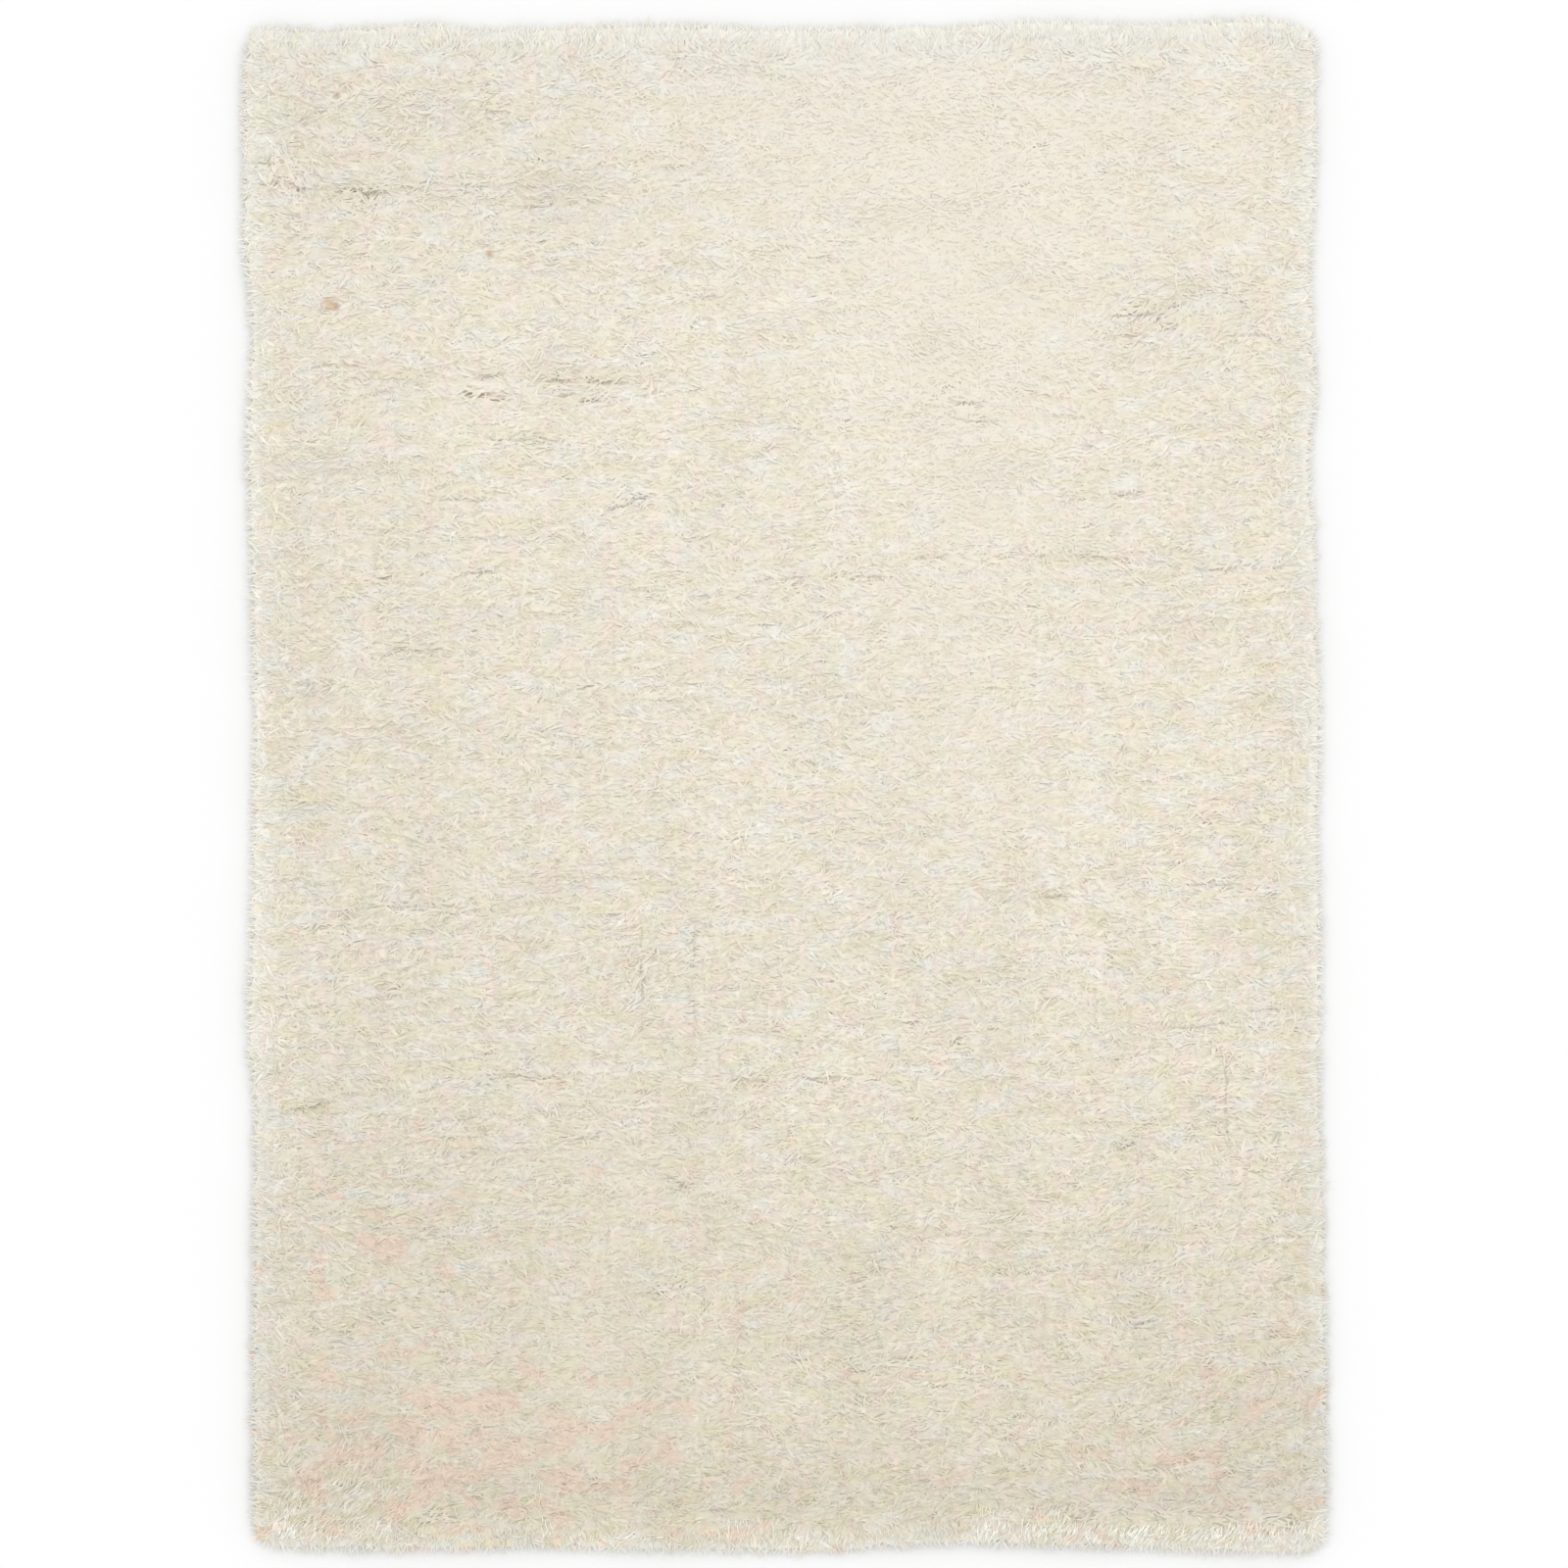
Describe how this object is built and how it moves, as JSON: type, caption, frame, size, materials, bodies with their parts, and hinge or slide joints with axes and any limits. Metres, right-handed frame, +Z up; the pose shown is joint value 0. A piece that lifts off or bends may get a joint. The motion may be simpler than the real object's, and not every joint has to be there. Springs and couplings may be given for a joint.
{
  "type": "shag rug",
  "caption": "Rectangular deep-pile rug lying flat, with a lumpy cream pile of soft yarn and loose locks drooping over its edges.",
  "frame": {"origin": "middle of the flat underside, on the floor", "axes": "+Z up out of the pile, +Y along the rug's length, +X across it"},
  "size_m": [1.677, 2.3622, 0.0393],
  "materials": {
    "pile": "soft cream pile yarn, matt with a faint sheen along the yarns",
    "ground": "plain woven ground, natural yarn, matt"
  },
  "bodies": {
    "root": {"rug": "pile"}
  },
  "joints": []
}
